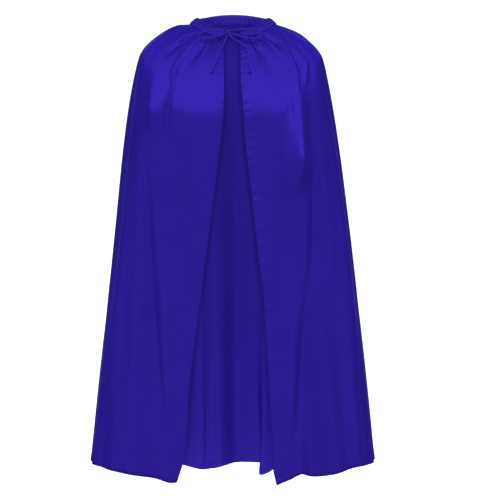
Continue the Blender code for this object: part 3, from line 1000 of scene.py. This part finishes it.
def dress_back():
    """The back with its hem stitches, and the seam allowances at both sides."""
    cloth = back_cloth()
    add_thickness(cloth)
    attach(cloth, ROOT)
    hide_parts("back_panel", "back_hem")
    hem_line = np.linspace(90.3, 269.7, BACK_HEM_SAMPLES)
    hem_share = np.full(BACK_HEM_SAMPLES, 1 - HEM_TURN * STITCH_PLACE)
    stitches = stitches_along("back_hem_stitches", hem_line, hem_share)
    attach(stitches, ROOT)
    for word, side in SIDES.items():
        seam = seam_allowance(word, side)
        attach(seam, ROOT)
        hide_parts(word + "_side_seam")


def casing_stitches():
    """The row of stitches that closes the casing along its lower edge."""
    degrees = np.linspace(CASING_END + 0.5, 359.5 - CASING_END, CASING_SAMPLES)
    pleats = small_pleats(degrees, FINE_BOUNDS, FINE_HEIGHTS)
    across = -CASING_WIDTH / 2 * 0.80
    through = CASING_THICKNESS / 2 * 0.72 + pleats * 0.8
    line = casing_point(degrees, across, through)
    out = casing_point(degrees, across, through + 0.001) - line
    out /= np.linalg.norm(out, axis=1, keepdims=True)
    reached = distances_along(line)
    begin = np.arange(0.0, reached[-1] - STITCH, STITCH + STITCH_GAP)
    starts, ends, outwards = [
        np.stack(columns_at(values, reached, places), axis=-1)
        for values, places in ((line, begin), (line, begin + STITCH), (out, begin))
    ]
    return stitch_row("casing_stitches", starts, ends, outwards)


def dress_casing():
    casing = casing_cloth()
    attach(casing, ROOT)
    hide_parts("neck_casing")
    stitches = casing_stitches()
    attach(stitches, ROOT)


def overhand_knot(name, centre, downwards, size):
    """A small overhand knot, as a trefoil of cord."""
    turns = np.linspace(0, 2 * math.pi, 120, endpoint=False)
    flat = np.stack(
        [np.sin(turns) + 2 * np.sin(2 * turns), np.cos(turns) - 2 * np.cos(2 * turns), -np.sin(3 * turns)],
        axis=-1,
    )
    down = Vector(downwards).normalized()
    spin = np.array(down.to_track_quat("Z", "Y").to_matrix())
    shape = flat * np.array([1.0, 1.0, 1.1]) / 3.0 * size * 0.52
    line = shape @ spin.T + np.array(centre)
    line = np.vstack([line, line[:1]])
    return tube(name, line, size * 0.42, closed=True)


def dress_drawstring():
    """The cord inside the casing, with both its ends led to the knot."""
    casing_degrees = np.linspace(CASING_END + 1, 359 - CASING_END, 15)
    in_casing = [tuple(p) for p in casing_point(casing_degrees, 0.0, 0.0)]
    route = smooth_line(LEFT_LEAD + in_casing + RIGHT_LEAD[::-1])
    string = tube("neck_drawstring", route, CORD_DIAMETER / 2)
    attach(string, ROOT)
    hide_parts("drawstring")


def bow_wrap(name, shift, lean):
    """One turn of cord round the middle of the bow."""
    turns = np.linspace(0, 2 * math.pi, 60, endpoint=False)
    tilt = math.tan(math.radians(lean))
    ring = np.stack(
        [
            KNOT_CENTRE[0] + shift + WRAP_HALF_HEIGHT * np.sin(turns) * tilt,
            KNOT_CENTRE[1] + WRAP_HALF_DEPTH * np.cos(turns),
            KNOT_CENTRE[2] - WRAP_DROP + WRAP_HALF_HEIGHT * np.sin(turns),
        ],
        axis=-1,
    )
    return tube(name, np.vstack([ring, ring[:1]]), WRAP_RADIUS, closed=True)


def dress_knot():
    for number, (shift, lean) in enumerate(WRAPS):
        wrap = bow_wrap(f"bow_wrap_{number + 1}", shift, lean)
        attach(wrap, ROOT)
    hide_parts("bow_knot")


def dress_loop(word):
    route = smooth_line(LOOPS[word])
    loop = tube(word + "_bow_loop", route, CORD_DIAMETER / 2)
    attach(loop, word + "_bow_loop")
    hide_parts(word + "_loop")


def dress_tail(word):
    """A tail of the cord, which runs on through its end knot to the cut end."""
    low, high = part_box(word + "_tail_knot")
    centre = (Vector(low) + Vector(high)) / 2
    knot_size = (high.x - low.x) / 2
    ahead = (Vector(TAILS[word][-1]) - Vector(TAILS[word][-2])).normalized()
    route = smooth_line(TAILS[word] + [tuple(centre + ahead * knot_size * CUT_END_REACH)])
    tail = tube(word + "_bow_tail", route, CORD_DIAMETER / 2)
    knot = overhand_knot(word + "_end_knot", centre, ahead, knot_size)
    for piece, node in ((tail, "_tail"), (knot, "_tail_knot")):
        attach(piece, word + "_cord_tail")
        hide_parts(word + node)


add_camera()
add_stage()
dress_drawstring()
dress_knot()
for side_name in SIDES:
    dress_loop(side_name)
    dress_tail(side_name)
dress_casing()
dress_back()
for side_name, side_sign in SIDES.items():
    dress_front(side_name, side_sign)
